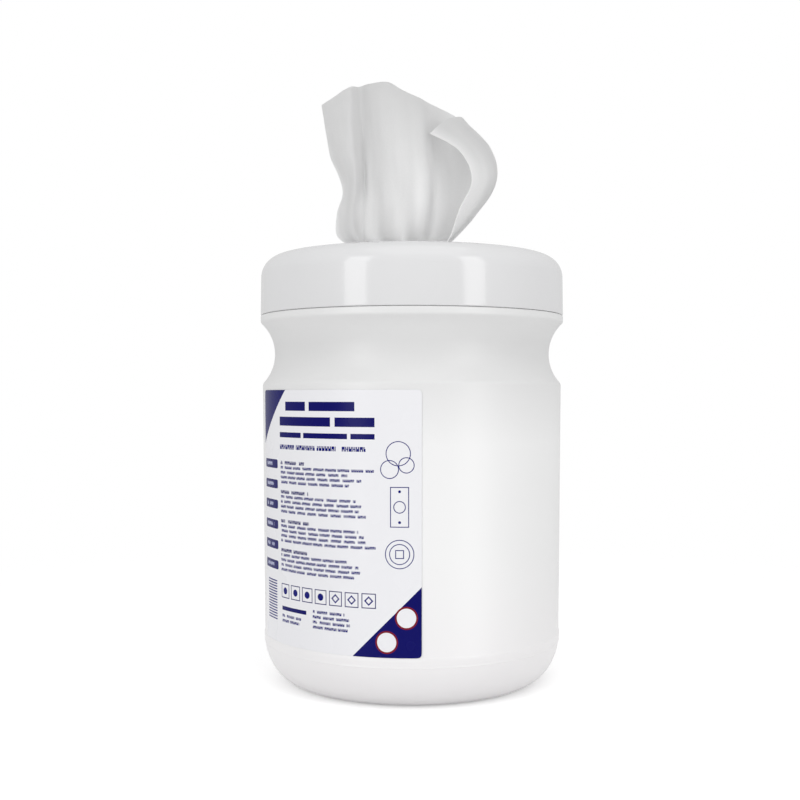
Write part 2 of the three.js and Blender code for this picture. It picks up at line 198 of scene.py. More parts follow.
def makeLidPlastic():
    look = {"colour": shade(219, 219, 220), "shadow": shade(215, 215, 216),
            "broadScale": 30, "fineScale": 700, "roughness": 0.09, "roughnessSpread": 0.08,
            "bump": 0.08, "bumpDepth": 0.0001}
    finish = Finish("lidPlastic")
    place = finish.objectPlace()
    broad = finish.grain(place, look["broadScale"])
    fine = finish.grain(place, look["fineScale"], 2)
    return finish.finishWith(finish.node(
        "ShaderNodeBsdfPrincipled", None,
        Base_Color=finish.blend(broad, look["shadow"], look["colour"]),
        Roughness=look["roughness"] + fine * look["roughnessSpread"],
        Normal=finish.bump(fine, look["bump"], look["bumpDepth"])))


def makeCloth():
    look = {"colour": shade(254, 254, 254), "fibre": shade(222, 222, 222),
            "upperShade": shade(222, 222, 222), "upperShadeFoot": 0.205, "upperShadeHead": 0.264,
            "hem": shade(255, 255, 255), "hemStart": 0.95, "hemShine": 0.5,
            "drawnScale": (60, 16, 1), "crossedScale": (24, 70, 1), "foldScale": (7, 1.8, 1),
            "fibreDetail": 5, "fibreRoughness": 0.62, "fibreShare": 0.4, "streakScale": 1.2,
            "streakContrast": 2.6, "streakMiddle": 0.55, "roughness": 0.85, "sheen": 0.25,
            "glow": 0.58, "bump": 0.3, "bumpDepth": 0.0004}
    finish = Finish("wipeCloth")
    sheet = finish.node("ShaderNodeTexCoord", out="UV")
    # fibres are drawn out along the sheet's run
    drawn = finish.node("ShaderNodeMapping", None, Vector=sheet, Scale=look["drawnScale"])
    crossed = finish.node("ShaderNodeMapping", None, Vector=sheet, Scale=look["crossedScale"])
    fibreLook = (look["fibreDetail"], look["fibreRoughness"])
    fibres = (finish.grain(drawn, 5, *fibreLook) + finish.grain(crossed, 4, *fibreLook)) * 0.5
    folded = finish.node("ShaderNodeMapping", None, Vector=sheet, Scale=look["foldScale"])
    streaks = (finish.grain(folded, look["streakScale"], 2) - 0.5) * look["streakContrast"]
    streaks = (streaks + look["streakMiddle"]).larger(0).smaller(1)
    weave = fibres * look["fibreShare"] + streaks * (1 - look["fibreShare"])
    cloth = finish.blend(weave, look["fibre"], look["colour"])
    # painted shade: higher up, where the sheet is a single layer, its colour is painted a little
    # greyer
    height = finish.axes(finish.objectPlace())[2]
    upperShade = height.between(look["upperShadeFoot"], look["upperShadeHead"])
    upper = finish.blend(upperShade, cloth, look["upperShade"])
    # the cut edge of the curl rolls over and catches the light
    hem = finish.axes(sheet)[0].between(look["hemStart"], 1)
    colour = finish.blend(hem * look["hemShine"], upper, look["hem"])
    normal = finish.bump(fibres, look["bump"], look["bumpDepth"])
    front = finish.node("ShaderNodeBsdfPrincipled", None, Base_Color=colour,
                        Roughness=look["roughness"], Normal=normal, Sheen_Weight=look["sheen"])
    glowing = finish.node("ShaderNodeBsdfTranslucent", None, Color=colour, Normal=normal)
    return finish.finishWith(
        finish.node("ShaderNodeMixShader", None, look["glow"], front, glowing))


def makeRollCloth():
    look = {"colour": shade(232, 234, 235), "groove": shade(196, 199, 202),
            "turnPitch": 0.0011, "wanderScale": 40, "wander": 0.6, "fibreScale": 500,
            "fibreShare": 0.5, "roughness": 0.9, "bump": 0.5, "bumpDepth": 0.0004}
    finish = Finish("rollCloth")
    place = finish.objectPlace()
    x, y = finish.axes(place)[:2]
    radius = (x * x + y * y).root()
    angle = finish.node("ShaderNodeMath", {"operation": "ARCTAN2"}, y, x) / (2 * math.pi)
    wander = finish.grain(place, look["wanderScale"]) * look["wander"]
    turn = (radius / look["turnPitch"] - angle + wander).fraction()
    # painted shade: the gaps between the wound turns, where ridge is 1, are painted darker in
    # the groove colour
    ridge = abs(turn - 0.5) * 2
    fibres = finish.grain(place, look["fibreScale"], 4)
    return finish.finishWith(finish.node(
        "ShaderNodeBsdfPrincipled", None,
        Base_Color=finish.blend(ridge, look["colour"], look["groove"]),
        Roughness=look["roughness"],
        Normal=finish.bump(1 - ridge + fibres * look["fibreShare"], look["bump"],
                           look["bumpDepth"])))


# The label's ends are degrees from the front towards -X.
labelSizes = {"foot": 21.4, "height": 101.9, "left": 71.8, "right": -3.4, "lift": 0.12,
              "thickness": 0.16, "corner": 1.6}


# The label's print: fields of colour, plain bars, rows of notched blocks and simple shapes,
# laid out in millimetres from the label's left edge and its foot.
def makeLabelFilm(width):
    height = labelSizes["height"]
    look = {"paper": shade(229, 229, 232), "navy": shade(1, 1, 92), "ink": shade(12, 14, 108),
            "pale": shade(176, 180, 208), "rim": shade(120, 22, 34), "roughness": 0.22,
            "roughnessSpread": 0.1, "shine": 0.12, "waveScale": 60, "bump": 0.12,
            "bumpDepth": 0.0006}
    finish = Finish("labelFilm")
    across, up = finish.axes(finish.node("ShaderNodeTexCoord", out="UV"))[:2]
    x = across * width  # from the label's left edge
    y = up * height  # from its foot

    def box(left, foot, wide, tall):
        return (abs(x - (left + wide / 2)) < wide / 2) * (abs(y - (foot + tall / 2)) < tall / 2)

    def fromSpot(midX, midY):
        return ((x - midX) * (x - midX) + (y - midY) * (y - midY)).root()

    def ring(midX, midY, radius, line):
        return abs(fromSpot(midX, midY) - radius) < line / 2

    def squareRing(midX, midY, half, line):
        return abs(abs(x - midX).larger(abs(y - midY)) - half) < line / 2

    def frameBox(left, foot, wide, tall, line):
        return box(left, foot, wide, tall) * (
            1 - box(left + line, foot + line, wide - 2 * line, tall - 2 * line))

    def chance(first, second):
        spot = finish.node("ShaderNodeCombineXYZ", None, first, second, 0.0)
        return finish.node("ShaderNodeTexWhiteNoise", {"noise_dimensions": "2D"}, Vector=spot,
                           out="Value")

    # rows of plain notched blocks in groups, with a ragged right end where there are several
    def blockRows(left, foot, wide, rows, pitch, share, blockPitch, groupLength):
        shape = {"group": 0.76, "groupSpread": 0.16, "halfBlock": 0.43, "halfNotch": 0.12,
                 "notchFrom": 0.1, "upperPick": 0.4, "lowerPick": 0.5,
                 "ragged": 0.3 if rows > 1 else 0, "shortest": 0.72 if rows > 1 else 1}
        row = ((y - foot) / pitch).floor()
        rise = (((y - foot) / pitch).fraction() - 0.5) / share
        slide = x - left + chance(row, 0.5) * groupLength * (rows > 1)
        groupEnd = chance((slide / groupLength).floor(), row) * shape["groupSpread"]
        group = (slide / groupLength).fraction() < groupEnd + shape["group"]
        beside = (slide / blockPitch).fraction() - 0.5
        pick = chance((slide / blockPitch).floor(), row + 7)
        notch = (abs(beside) < shape["halfNotch"]) * (
            (rise > shape["notchFrom"]) * (pick > shape["upperPick"])).larger(
            (rise < -shape["notchFrom"]) * (pick < shape["lowerPick"]))
        block = (abs(rise) < 0.5) * (abs(beside) < shape["halfBlock"]) * (1 - notch)
        end = chance(row, 1.5) * (shape["ragged"] * wide) + (left + shape["shortest"] * wide)
        return box(left, foot, wide, rows * pitch) * group * block * (x < end)

    colour = look["paper"]

    def lay(ink, mask):
        nonlocal colour
        colour = finish.blend(mask, colour, look[ink])

    # two navy corners
    corners = {"head": 22, "foot": 27}
    lay("navy", (x - y + height) < corners["head"])
    lay("navy", (x - y) > width - corners["foot"])

    # three headings of plain bars, and one row under them
    headings = [(22, 93.6, 12.5, 3.6), (36.5, 93.6, 21, 3.6), (17.5, 87.6, 29.5, 3.6),
                (49, 87.6, 16.5, 3.6), (17.5, 82.9, 14.5, 2.1), (33.4, 82.9, 21, 2.1),
                (55.8, 82.9, 9.7, 2.1)]
    for left, foot, wide, tall in headings:
        lay("navy", box(left, foot, wide, tall))
    lay("ink", blockRows(left=17.5, foot=77.6, wide=46, rows=1, pitch=3, share=0.62,
                         blockPitch=1.5, groupLength=11.5))

    # four paragraphs, each with its heading
    paragraph = {"left": 18, "foot": 28.9, "pitch": 11.7, "body": 0.667, "headingFoot": 31.8}
    body = blockRows(left=paragraph["left"], foot=paragraph["foot"], wide=48, rows=24,
                     pitch=1.95, share=0.56, blockPitch=0.95, groupLength=5.8)
    inBody = ((y - paragraph["foot"]) / paragraph["pitch"]).fraction() < paragraph["body"]
    lay("ink", body * inBody)
    lay("navy", blockRows(left=paragraph["left"], foot=paragraph["headingFoot"], wide=21, rows=4,
                          pitch=paragraph["pitch"], share=0.115, blockPitch=1.2,
                          groupLength=9.6))

    # a column of tags with rounded ends
    tag = {"count": 6, "foot": 26.9, "pitch": 8.2, "middle": 8.2, "halfWidth": 6.3,
           "halfHeight": 0.9, "round": 0.9, "columnLeft": 0.5, "columnWidth": 16}
    overX = (abs(x - tag["middle"]) - tag["halfWidth"]).larger(0)
    inTag = ((y - tag["foot"]) / tag["pitch"]).fraction() * tag["pitch"] - tag["pitch"] / 2
    overY = (abs(inTag) - tag["halfHeight"]).larger(0)
    column = box(tag["columnLeft"], tag["foot"], tag["columnWidth"], tag["count"] * tag["pitch"])
    lay("navy", ((overX * overX + overY * overY).root() < tag["round"]) * column)
    lay("pale", blockRows(left=3.4, foot=tag["foot"], wide=9.6, rows=tag["count"],
                          pitch=tag["pitch"], share=0.16, blockPitch=1.4, groupLength=9.6))

    # a row of framed icons, discs first and then turned squares
    icon = {"left": 17.5, "foot": 17.4, "tall": 8, "pitch": 7, "count": 7, "middle": 21.4,
            "half": 2.7, "halfLine": 0.18, "disc": 1.4, "square": 1.5, "halfSquareLine": 0.36,
            "squaresFrom": 45.5}
    along = ((x - icon["left"]) / icon["pitch"]).fraction() * icon["pitch"] - icon["pitch"] / 2
    above = y - icon["middle"]
    icons = box(icon["left"], icon["foot"], icon["pitch"] * icon["count"], icon["tall"])
    edge = abs(abs(along).larger(abs(above)) - icon["half"])
    lay("navy", (edge < icon["halfLine"]) * icons)
    disc = (along * along + above * above).root() < icon["disc"]
    square = abs(abs(along) + abs(above) - icon["square"]) < icon["halfSquareLine"]
    lay("ink", disc * icons * (x < icon["squaresFrom"]))
    lay("ink", square * icons * (x > icon["squaresFrom"]))

    # line drawings down the right side: rings, a framed plate and a small square
    line = 0.34
    for midX, midY, radius in ((74.5, 77.6, 4.6), (77.6, 73.2, 2.9), (71.2, 71.6, 3.4),
                               (75, 57.3, 2.2), (75, 39.4, 5.4), (75, 39.4, 3.8)):
        lay("ink", ring(midX, midY, radius, line))
    lay("ink", frameBox(71.4, 49.6, 7.2, 15.4, line))
    for midX, midY, radius in ((75, 51.5, 0.55), (75, 63.2, 0.55)):
        lay("ink", fromSpot(midX, midY) < radius)
    lay("ink", squareRing(75, 39.4, 1.5, line))

    # a bar with two small blocks of rows at the foot, and a hatch on the left
    lay("navy", box(18.5, 13.6, 16, 1.6))
    for left, wide, rows in ((18.5, 15, 2), (38, 20, 4)):
        lay("ink", blockRows(left=left, foot=8.4, wide=wide, rows=rows, pitch=2, share=0.56,
                             blockPitch=1.05, groupLength=6.2))
    hatchPitch = 1.1
    lay("ink", ((y / hatchPitch).fraction() < 0.5) * box(4, 8.5, 10, 16.5))

    # two plain discs with rims in the navy corner
    for midX, midY in ((77.6, 15.2), (70, 5.9)):
        for ink, radius in (("rim", 4.4), ("paper", 3.7)):
            lay(ink, fromSpot(midX, midY) < radius)

    wave = finish.grain(finish.objectPlace(), look["waveScale"], 2)
    return finish.finishWith(finish.node(
        "ShaderNodeBsdfPrincipled", None, Base_Color=colour,
        Roughness=look["roughness"] + wave * look["roughnessSpread"],
        Specular_IOR_Level=look["shine"],
        Normal=finish.bump(wave, look["bump"], look["bumpDepth"])))


# Modelling helpers
def deselect():
    if bpy.context.object and bpy.context.object.mode != "OBJECT":
        bpy.ops.object.mode_set(mode="OBJECT")
    bpy.ops.object.select_all(action="DESELECT")


def activate(piece):
    deselect()
    piece.select_set(True)
    bpy.context.view_layer.objects.active = piece


def smooth(sharp):
    bpy.ops.object.shade_smooth_by_angle(angle=math.radians(sharp))


# Points along an arc, or along part of an ellipse where squash isn't 1
def arc(midR, midZ, radius, fromAngle, toAngle, steps, squash=1.0):
    angles = [fromAngle + (toAngle - fromAngle) * i / steps for i in range(steps + 1)]
    return [(midR + radius * math.cos(angle), midZ + radius * squash * math.sin(angle))
            for angle in angles]


# A closed outline of (radius, height), drawn by extruding one vertex and spun about +Z.
def turned(name, outline, steps=128, sharp=32):
    deselect()
    bpy.ops.mesh.primitive_plane_add(size=mm, location=(0, 0, 0))
    piece = bpy.context.object
    piece.name = name
    bpy.ops.object.mode_set(mode="EDIT")
    bpy.ops.mesh.select_mode(type="VERT")
    bpy.ops.mesh.select_all(action="SELECT")
    bpy.ops.mesh.merge(type="CENTER")
    at = (0.0, 0.0)
    for index, (radius, height) in enumerate(outline):
        step = ((radius - at[0]) * mm, 0, (height - at[1]) * mm)
        if index == 0:
            bpy.ops.transform.translate(value=step)
        else:
            bpy.ops.mesh.extrude_region_move(TRANSFORM_OT_translate={"value": step})
        at = (radius, height)
    bpy.ops.object.mode_set(mode="OBJECT")
    ends = (0, len(outline) - 1)
    for vertex in piece.data.vertices:
        vertex.select = vertex.index in ends
    bpy.ops.object.mode_set(mode="EDIT")
    bpy.ops.mesh.edge_face_add()
    bpy.ops.mesh.select_all(action="SELECT")
    bpy.ops.mesh.spin(steps=steps, angle=2 * math.pi, center=(0, 0, 0), axis=(0, 0, 1))
    bpy.ops.mesh.select_all(action="SELECT")
    bpy.ops.mesh.remove_doubles(threshold=weldGap)
    bpy.ops.mesh.normals_make_consistent(inside=False)
    bpy.ops.object.mode_set(mode="OBJECT")
    smooth(sharp)
    return piece


def applyModifier(piece, kind, name, **settings):
    activate(piece)
    modifier = piece.modifiers.new(name, kind)
    for key, value in settings.items():
        setattr(modifier, key, value)
    bpy.ops.object.modifier_apply(modifier=name)


def settle(piece):
    activate(piece)
    bpy.ops.object.transform_apply(location=True, rotation=True, scale=True)


def dress(piece, material, body, node=None):
    piece.data.materials.clear()
    piece.data.materials.append(material)
    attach(piece, body)
    if node:
        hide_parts(node)


# Tub
tubSizes = {"wall": 1.4, "ringRadius": 48.2, "ringWidth": 5, "pushUp": 3, "pushUpSlope": 4.5,
            "baseCurve": 20.9, "wallFoot": 63.05, "wallTop": 64.05, "relief": 0.3, "step": 0.8,
            "shoulderRound": 2.4, "waistRadius": 58.95, "waistHeight": 138.7, "waistCurve": 18,
            "beadRadius": 65, "beadRound": 1.5, "beadTop": 155, "neckRadius": 60.5,
            "neckWall": 1.8, "neckLength": 21.2, "rimRound": 0.7, "floorRings": (0, 14, 28),
            "ringEdge": 0.8, "ringEdgeRise": 0.35, "reliefShare": 0.7, "stepShare": 0.4,
            "beadEdge": 0.4, "neckFillet": 0.5, "rimEdge": 0.4,
            "mouldLine": 17.4, "mouldLineProud": 0.14, "mouldLineHalf": 0.3}

neckTop = tubSizes["beadTop"] + tubSizes["neckLength"]


def waistCorner(faceRadius, roundness):
    across = tubSizes["waistRadius"] + tubSizes["waistCurve"] - (faceRadius - roundness)
    along = math.sqrt((tubSizes["waistCurve"] + roundness) ** 2 - across ** 2)
    return along, math.atan2(along, across)


def tubOutline():
    t = tubSizes
    shoulderAlong, shoulderAngle = waistCorner(t["wallTop"], t["shoulderRound"])
    beadAlong, beadAngle = waistCorner(t["beadRadius"], t["beadRound"])
    waistAxis = t["waistRadius"] + t["waistCurve"]
    ringInner = t["ringRadius"] - t["ringWidth"]
    floorTop = t["pushUp"] + t["wall"]
    curveAcross = t["wallFoot"] + t["relief"] - t["ringRadius"]
    innerCurve = t["waistCurve"] + t["wall"]
    neckInner = t["neckRadius"] - t["neckWall"]
    beadInner = t["beadRadius"] - t["wall"]
    innerRise = math.sqrt(innerCurve ** 2 - (waistAxis - beadInner) ** 2)
    innerAngle = math.atan2(innerRise, waistAxis - beadInner)
    outside = [(radius, t["pushUp"]) for radius in t["floorRings"]]
    outside += [(ringInner - t["pushUpSlope"], t["pushUp"]),
                (ringInner - t["ringEdge"], t["ringEdgeRise"]), (ringInner, 0)]
    baseCurve = arc(t["ringRadius"], t["baseCurve"], curveAcross, -math.pi / 2, 0, 26,
                    t["baseCurve"] / curveAcross)
    # a fine line stands proud of the base curve where the mould's parts met
    half = t["mouldLineHalf"]
    for rise, proud in ((-half, 0), (0, t["mouldLineProud"]), (half, 0)):
        height = t["mouldLine"] + rise
        share = 1 - height / t["baseCurve"]
        radius = t["ringRadius"] + curveAcross * math.sqrt(1 - share ** 2)
        baseCurve.append((radius + proud, height))
    outside += sorted(baseCurve, key=lambda point: point[1])
    outside += [(t["wallFoot"] + t["relief"] * t["reliefShare"],
                 t["baseCurve"] + t["step"] * t["stepShare"]),
                (t["wallFoot"], t["baseCurve"] + t["step"])]
    outside += arc(t["wallTop"] - t["shoulderRound"], t["waistHeight"] - shoulderAlong,
                   t["shoulderRound"], 0, shoulderAngle, 8)
    outside += arc(waistAxis, t["waistHeight"], t["waistCurve"], math.pi + shoulderAngle,
                   math.pi - beadAngle, 28)[1:-1]
    outside += arc(t["beadRadius"] - t["beadRound"], t["waistHeight"] + beadAlong,
                   t["beadRound"], -beadAngle, 0, 7)
    outside += [(t["beadRadius"], t["beadTop"] - t["beadEdge"]),
                (t["beadRadius"] - t["beadEdge"], t["beadTop"]),
                (t["neckRadius"] + t["neckFillet"], t["beadTop"]),
                (t["neckRadius"], t["beadTop"] + t["neckFillet"]),
                (t["neckRadius"], neckTop - t["rimRound"])]
    outside += arc(t["neckRadius"] - t["rimRound"], neckTop - t["rimRound"], t["rimRound"],
                   0, math.pi / 2, 4)[1:]
    inside = [(neckInner + t["rimEdge"], neckTop), (neckInner, neckTop - t["rimEdge"]),
              (neckInner, t["beadTop"] - t["wall"]), (beadInner, t["beadTop"] - t["wall"])]
    inside += arc(waistAxis, t["waistHeight"], innerCurve, math.pi - innerAngle,
                  math.pi + shoulderAngle, 16)
    inside.append((t["wallTop"] - t["wall"], t["waistHeight"] - shoulderAlong))
    inside += arc(t["ringRadius"], t["baseCurve"], curveAcross - t["relief"] - t["wall"],
                  0, -math.pi / 2, 14,
                  (t["baseCurve"] - t["wall"]) / (curveAcross - t["relief"] - t["wall"]))
    inside += [(ringInner, t["wall"]), (ringInner - t["pushUpSlope"], floorTop), (0, floorTop)]
    return outside + inside


def addPinchRib(material):
    rib = {"length": 52, "width": 1.2, "height": 0.7, "round": 0.25}
    middle = tubSizes["pushUp"] - rib["height"] / 2
    deselect()
    bpy.ops.mesh.primitive_cube_add(size=1, location=(0, 0, middle * mm))
    piece = bpy.context.object
    piece.name = "pinchRib"
    bpy.ops.object.mode_set(mode="EDIT")
    bpy.ops.transform.resize(value=(rib["length"] * mm, rib["width"] * mm, rib["height"] * mm))
    bpy.ops.mesh.bevel(offset=rib["round"] * mm, segments=3)
    bpy.ops.object.mode_set(mode="OBJECT")
    settle(piece)
    smooth(40)
    dress(piece, material, "tub")


# Screw thread: a trapezium wound up by the Screw modifier, shallower over its first and last
# share of a turn
threadSizes = {"lead": 6, "turns": 1.25, "depth": 1.7, "rootWidth": 2.6, "crestWidth": 1.2,
               "fade": 0.08, "endDepth": 0.25, "rise": 6.6, "flankGap": 0.35, "bite": 0.25,
               "stepsPerTurn": 72}


def addThread(name, wallRadius, side, firstHeight, material, body):
    t = threadSizes
    deselect()
    bpy.ops.mesh.primitive_plane_add(size=mm, location=(0, 0, 0))
    piece = bpy.context.object
    piece.name = name
    root = wallRadius - side * t["bite"]
    crest = wallRadius + side * t["depth"]
    corners = [(root, -t["rootWidth"] / 2), (crest, -t["crestWidth"] / 2),
               (crest, t["crestWidth"] / 2), (root, t["rootWidth"] / 2)]
    for vertex, (radius, height) in zip((0, 1, 3, 2), corners):
        piece.data.vertices[vertex].co = (radius * mm, 0, (firstHeight + height) * mm)
    bpy.ops.object.mode_set(mode="EDIT")
    bpy.ops.mesh.select_all(action="SELECT")
    bpy.ops.mesh.delete(type="ONLY_FACE")
    bpy.ops.object.mode_set(mode="OBJECT")
    steps = round(t["stepsPerTurn"] * t["turns"])
    applyModifier(piece, "SCREW", "wind", angle=t["turns"] * 2 * math.pi, steps=steps,
                  render_steps=steps, screw_offset=t["lead"] * t["turns"] * mm, axis="Z",
                  use_merge_vertices=False)
    rings = len(piece.data.vertices) // len(corners)
    for vertex in piece.data.vertices:
        ring = vertex.index // len(corners)
        turn = min(ring, rings - 1 - ring) / t["stepsPerTurn"]
        fade = t["endDepth"] + (1 - t["endDepth"]) * min(1, turn / t["fade"])
        radius = math.hypot(vertex.co.x, vertex.co.y)
        faded = wallRadius * mm + (radius - wallRadius * mm) * fade
        vertex.co.x *= faded / radius
        vertex.co.y *= faded / radius
    bpy.ops.object.mode_set(mode="EDIT")
    bpy.ops.mesh.select_all(action="SELECT")
    bpy.ops.mesh.fill_holes(sides=8)
    bpy.ops.mesh.normals_make_consistent(inside=False)
    bpy.ops.object.mode_set(mode="OBJECT")
    smooth(30)
    dress(piece, material, body)


# Label
def addLabel():
    wallSlope = (tubSizes["wallTop"] - tubSizes["wallFoot"]) / (
        tubSizes["waistHeight"] - waistCorner(tubSizes["wallTop"], tubSizes["shoulderRound"])[0]
        - tubSizes["baseCurve"])
    s = labelSizes
    middle = tubSizes["wallFoot"] + wallSlope * (
        s["foot"] + s["height"] / 2 - tubSizes["baseCurve"])
    width = middle * math.radians(s["left"] - s["right"])
    deselect()
    bpy.ops.mesh.primitive_grid_add(x_subdivisions=96, y_subdivisions=110, size=1)
    piece = bpy.context.object
    piece.name = "labelSheet"
    for vertex in piece.data.vertices:
        x = (vertex.co.x + 0.5) * width
        y = (vertex.co.y + 0.5) * s["height"]
        midX = min(max(x, s["corner"]), width - s["corner"])
        midY = min(max(y, s["corner"]), s["height"] - s["corner"])
        far = math.hypot(x - midX, y - midY)
        if far > s["corner"]:
            x = midX + (x - midX) * s["corner"] / far
            y = midY + (y - midY) * s["corner"] / far
        height = s["foot"] + y
        angle = math.radians(-90 - s["left"]) + x / middle
        radius = tubSizes["wallFoot"] + wallSlope * (height - tubSizes["baseCurve"]) + s["lift"]
        vertex.co = Vector((radius * math.cos(angle), radius * math.sin(angle), height)) * mm
    applyModifier(piece, "SOLIDIFY", "film", thickness=s["thickness"] * mm, offset=1)
    smooth(40)
    dress(piece, makeLabelFilm(width), "tub", "label")


# Roll of wipes
rollSizes = {"radius": 54.5, "core": 17, "height": 130, "gap": 0.3, "round": 1.6,
             "turnPitch": 1.1, "grooveDepth": 0.5, "endDrop": 0.15}


def addRoll():
    roll = rollSizes
    foot = tubSizes["pushUp"] + tubSizes["wall"] + roll["gap"]
    head = foot + roll["height"]
    r = roll["round"]
    outline = [(roll["core"] + r, foot)]
    outline += arc(roll["radius"] - r, foot + r, r, -math.pi / 2, 0, 5)
    outline += arc(roll["radius"] - r, head - r, r, 0, math.pi / 2, 5)
    turns = int((roll["radius"] - roll["core"] - 2 * r) / roll["turnPitch"])
    for index in range(turns * 2):
        radius = roll["radius"] - r - (index + 0.5) * roll["turnPitch"] / 2
        groove = roll["grooveDepth"] if index % 2 else 0
        outline.append((radius, head - groove - roll["endDrop"]))
    outline += arc(roll["core"] + r, head - r, r, math.pi / 2, math.pi, 4)
    outline += arc(roll["core"] + r, foot + r, r, math.pi, 1.5 * math.pi, 4)[:-1]
    piece = turned("wipesRoll", outline, 96, 50)
    dress(piece, makeRollCloth(), "tub", "wipes_roll")


# Lid
lidSizes = {"seam": 0.16, "radius": 65, "draft": 0.2, "edgeRound": 9.2, "topWall": 2,
            "headroom": 2.4, "neckGap": 2.2, "sealGap": 0.4, "sealWall": 1.2, "sealDepth": 4,
            "wellRadius": 17.5, "wellDepth": 6, "wellWall": 1.3, "wellRound": 0.6,
            "wellEdge": 0.3, "sealEdge": 0.3, "sealEdgeRise": 0.5, "skirtEdge": 0.4,
            "skirtRound": 0.5, "ceilingRings": (34, 48), "topRings": (46, 32, 22),
            "petalThickness": 1.1, "petalEdge": 0.3, "petalRound": 0.35, "petalBite": 0.1,
            "orifice": 7.8, "petals": 8, "slitWidth": 1.1, "slitReach": 14.5, "slitHeight": 4.4}

lidTop = neckTop + lidSizes["headroom"] + lidSizes["topWall"]
wellFloor = lidTop - lidSizes["wellDepth"]


def lidOutline():
    s = lidSizes
    skirtFoot = tubSizes["beadTop"] + s["seam"]
    skirtInner = tubSizes["neckRadius"] + s["neckGap"]
    ceiling = lidTop - s["topWall"]
    innerRound = min(s["edgeRound"] - s["topWall"],
                     s["edgeRound"] - (s["radius"] - skirtInner) + s["draft"])
    sealOuter = tubSizes["neckRadius"] - tubSizes["neckWall"] - s["sealGap"]
    sealInner = sealOuter - s["sealWall"]
    sealFoot = neckTop - s["sealDepth"]
    sealAngle = math.acos((sealOuter - (skirtInner - innerRound)) / innerRound)
    sealRise = ceiling - innerRound + math.sqrt(
        innerRound ** 2 - max(0, sealInner - (skirtInner - innerRound)) ** 2)
    wellOuter = s["wellRadius"] + s["wellWall"]
    wellFoot = wellFloor - s["petalThickness"]
    outline = [(s["wellRadius"], wellFoot), (wellOuter - s["wellEdge"], wellFoot),
               (wellOuter, wellFoot + s["wellEdge"]), (wellOuter, ceiling)]
    outline += [(radius, ceiling) for radius in s["ceilingRings"]]
    outline += [(sealInner, sealRise), (sealInner, sealFoot + s["sealEdgeRise"]),
                (sealInner + s["sealEdge"], sealFoot), (sealOuter - s["sealEdge"], sealFoot),
                (sealOuter, sealFoot + s["sealEdgeRise"])]
    outline += arc(skirtInner - innerRound, ceiling - innerRound, innerRound, sealAngle, 0, 8)
    outline += [(skirtInner, skirtFoot + s["skirtEdge"]),
                (skirtInner + s["skirtEdge"], skirtFoot)]
    outline += arc(s["radius"] - s["skirtRound"], skirtFoot + s["skirtRound"], s["skirtRound"],
                   -math.pi / 2, 0, 3)
    outline += arc(s["radius"] - s["draft"] - s["edgeRound"], lidTop - s["edgeRound"],
                   s["edgeRound"], 0, math.pi / 2, 22)
    outline += [(radius, lidTop) for radius in s["topRings"]]
    outline += arc(s["wellRadius"] + s["wellRound"], lidTop - s["wellRound"], s["wellRound"],
                   math.pi / 2, math.pi, 6)
    outline += [(s["wellRadius"], wellFloor)]
    return outline


def cutWith(piece, cutters):
    deselect()
    for cutter in cutters:
        cutter.select_set(True)
    bpy.context.view_layer.objects.active = cutters[0]
    bpy.ops.object.join()
    tool = bpy.context.object
    applyModifier(piece, "BOOLEAN", "cut", operation="DIFFERENCE", object=tool, solver="EXACT")
    bpy.data.objects.remove(tool)


def addPetals(material):
    s = lidSizes
    foot = wellFloor - s["petalThickness"]
    rim = s["wellRadius"] + s["petalBite"]
    outline = [(s["orifice"] + s["petalEdge"], foot), (rim, foot), (rim, wellFloor)]
    outline += arc(s["orifice"] + s["petalRound"], wellFloor - s["petalRound"], s["petalRound"],
                   math.pi / 2, math.pi, 3)
    outline += [(s["orifice"], foot + s["petalEdge"])]
    piece = turned("starPetals", outline, 96)
    cutters = []
    for index in range(s["petals"]):
        angle = (index + 0.5) * 2 * math.pi / s["petals"]
        middle = Vector((s["slitReach"] / 2, 0, wellFloor - s["petalThickness"] / 2)) * mm
        bpy.ops.mesh.primitive_cube_add(size=1, location=(0, 0, 0))
        cutter = bpy.context.object
        size = (s["slitReach"] * mm, s["slitWidth"] * mm, s["slitHeight"] * mm)
        cutter.data.transform(Matrix.Rotation(angle, 4, "Z") @ Matrix.Translation(middle)
                              @ Matrix.Diagonal((*size, 1)))
        cutters.append(cutter)
    cutWith(piece, cutters)
    smooth(30)
    dress(piece, material, "lid")


# Flip cap and its snap-in hinge. The cap stands open by an angle in degrees.
capSizes = {"overlap": 2.2, "thickness": 1.6, "edgeRound": 0.6, "footEdge": 0.2,
            "seatGap": 0.3, "footRing": 8, "headRing": 12, "plugGap": 0.35, "plugWall": 1.2,
            "plugDepth": 3, "plugEdge": 0.3, "plugRound": 0.6, "lipWidth": 9, "lipReach": 1.8,
            "lipRound": 0.45, "barrelRadius": 1.5, "barrelLength": 14, "barrelEdge": 0.15,
            "setback": 2.1, "webFrom": 0.2, "webBite": 1.2, "pinRadius": 1, "pinGap": 0.25,
            "earWidth": 2.6, "earWall": 1.3, "earGap": 0.3, "earSink": 0.4, "edge": 0.2,
            "open": 170}

plateRadius = lidSizes["wellRadius"] + capSizes["overlap"]
hingeY = plateRadius + capSizes["setback"]
hingeZ = lidTop + capSizes["seatGap"] + capSizes["barrelRadius"]


def addRod(name, radius, length, x, y, z, sides=40):
    deselect()
    bpy.ops.mesh.primitive_cylinder_add(vertices=sides, radius=radius * mm, depth=length * mm,
                                        location=(0, 0, 0))
    piece = bpy.context.object
    piece.name = name
    turn = Matrix.Rotation(math.pi / 2, 4, "Y")
    piece.data.transform(Matrix.Translation(Vector((x, y, z)) * mm) @ turn)
    return piece


def breakEdges(piece, width):
    applyModifier(piece, "BEVEL", "edges", width=width * mm, segments=2, limit_method="ANGLE")
    smooth(35)


